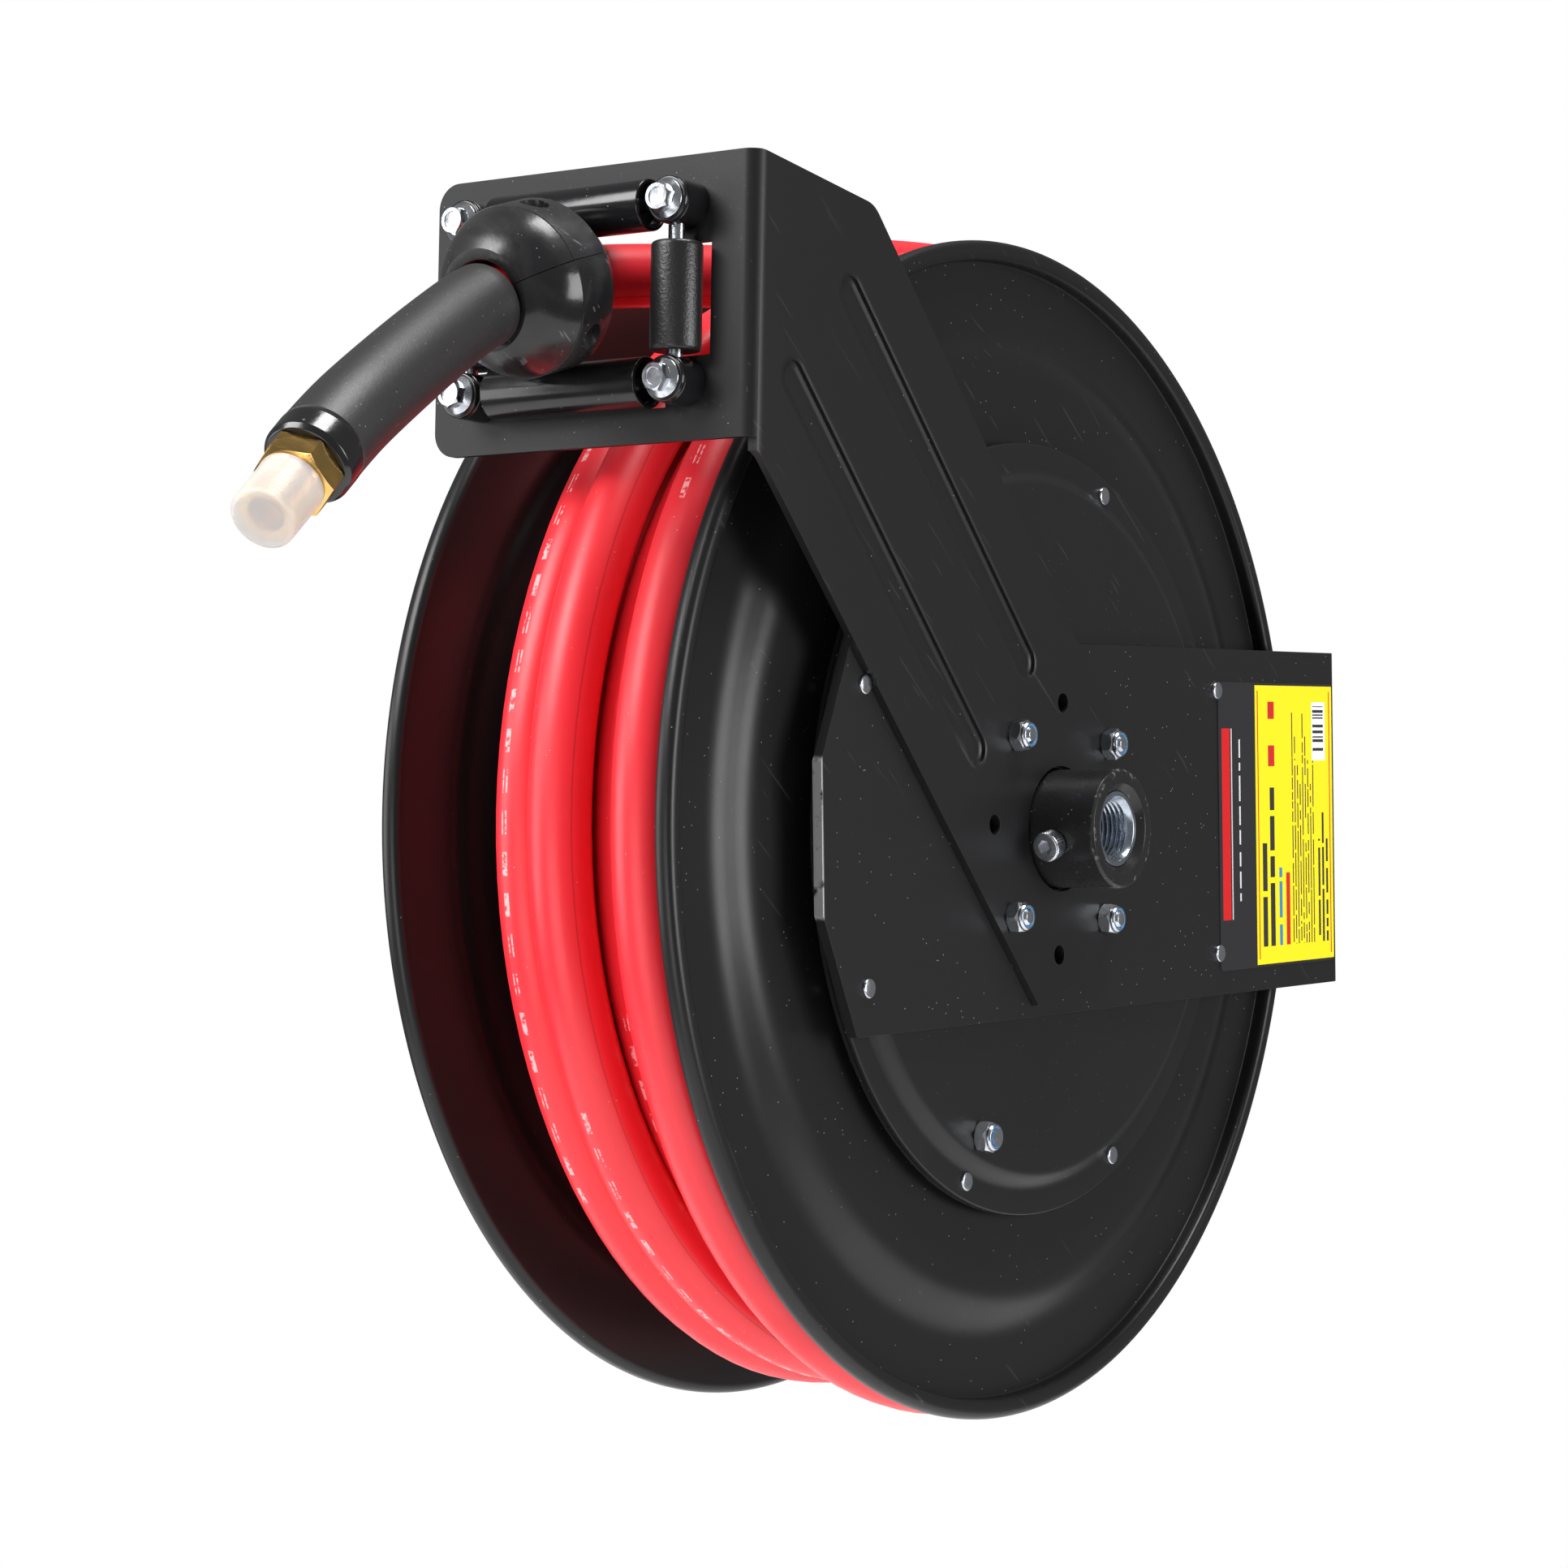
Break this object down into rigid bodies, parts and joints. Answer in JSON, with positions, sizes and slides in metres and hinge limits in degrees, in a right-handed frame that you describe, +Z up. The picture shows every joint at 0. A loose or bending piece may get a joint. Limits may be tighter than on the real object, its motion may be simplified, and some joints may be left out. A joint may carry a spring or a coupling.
{
  "type": "hose reel",
  "caption": "Spring-rewind hose reel on a one-sided wall bracket, with roller hose guide, ball stop and rubber hose.",
  "frame": {"origin": "centre of the bracket foot's wall face", "axes": "+Y into the wall, +Z up, +X along the reel's axle towards the water inlet"},
  "size_m": [0.1615, 0.5706, 0.4094],
  "materials": {
    "black_steel": "satin",
    "zinc_steel": "satin",
    "spring_steel": "satin",
    "black_plastic": "gloss",
    "matte_black": "matte",
    "red_hose": "satin",
    "black_rubber": "matte",
    "brass": "machined",
    "nylon_blue": "matte",
    "cap_plastic": "milky",
    "label": "satin",
    "bronze": "satin"
  },
  "bodies": {
    "frame": {"base_plate": "black_steel", "guide_arm": "black_steel", "hub_holder": "black_steel", "inlet_shaft": "zinc_steel", "shaft_lock_screw": "spring_steel", "arm_bolts": "zinc_steel", "arm_nuts": "zinc_steel", "locknut_inserts": "nylon_blue", "spring_cover": "black_steel", "spring_case": "black_steel", "cover_rivets": "zinc_steel", "base_rivets": "zinc_steel", "rivet_spacers": "zinc_steel", "mainspring": "spring_steel", "pawl_bolt": "zinc_steel", "pawl_nut": "zinc_steel", "pawl_spacers": "zinc_steel", "pawl_spring": "spring_steel", "roller_posts": "black_plastic", "post_bolts": "zinc_steel", "post_nuts": "zinc_steel", "roller_pins": "zinc_steel", "thrust_washer": "zinc_steel", "circlip": "spring_steel", "hose_tail": "red_hose", "ball_upper": "black_rubber", "ball_lower": "black_rubber", "ball_screws": "zinc_steel", "bend_restrictor": "black_rubber", "end_ring": "black_rubber", "hose_fitting": "brass", "rating_label": "label"},
    "reel": {"near_flange": "black_steel", "flange_rivets": "zinc_steel", "far_flange": "black_steel", "drum_shell": "black_steel", "drum_web": "black_steel", "spring_arbor": "black_steel", "arbor_rivets": "zinc_steel", "near_bush": "bronze", "far_bush": "bronze", "far_hub": "black_steel", "far_hub_bolts": "zinc_steel", "ratchet_ring": "zinc_steel", "swivel_housing": "brass", "swivel_seals": "black_rubber", "outlet_elbow": "zinc_steel", "inner_clamp": "zinc_steel", "hose_coil": "red_hose"},
    "roller_top": {"roller_top": "black_plastic"},
    "roller_bottom": {"roller_bottom": "black_plastic"},
    "roller_left": {"roller_left": "matte_black"},
    "roller_right": {"roller_right": "matte_black"},
    "pawl": {"pawl": "zinc_steel"},
    "cap": {"thread_cap": "cap_plastic"}
  },
  "joints": [
    {"name": "reel_spin", "type": "hinge", "parent": "frame", "child": "reel", "pos_m": [0, -0.213, 0], "axis": [1, 0, 0], "continuous": true},
    {"name": "roller_top_spin", "type": "hinge", "parent": "frame", "child": "roller_top", "pos_m": [-0.0425, -0.39338, 0.19421], "axis": [1, 0, 0], "continuous": true},
    {"name": "roller_bottom_spin", "type": "hinge", "parent": "frame", "child": "roller_bottom", "pos_m": [-0.0425, -0.39624, 0.13978], "axis": [1, 0, 0], "continuous": true},
    {"name": "roller_left_spin", "type": "hinge", "parent": "frame", "child": "roller_left", "pos_m": [-0.0425, -0.39624, 0.13978], "axis": [0, 0.0523, 0.9986], "continuous": true},
    {"name": "roller_right_spin", "type": "hinge", "parent": "frame", "child": "roller_right", "pos_m": [0.0375, -0.39624, 0.13978], "axis": [0, 0.0523, 0.9986], "continuous": true},
    {"name": "pawl_swing", "type": "hinge", "parent": "frame", "child": "pawl", "pos_m": [0.0423, -0.25686, -0.10088], "axis": [1, 0, 0], "range_deg": [0, 9.5]},
    {"name": "cap_pull", "type": "slide", "parent": "frame", "child": "cap", "axis": [0.1122, -0.7906, -0.6019], "range_m": [0, 0.03]}
  ]
}
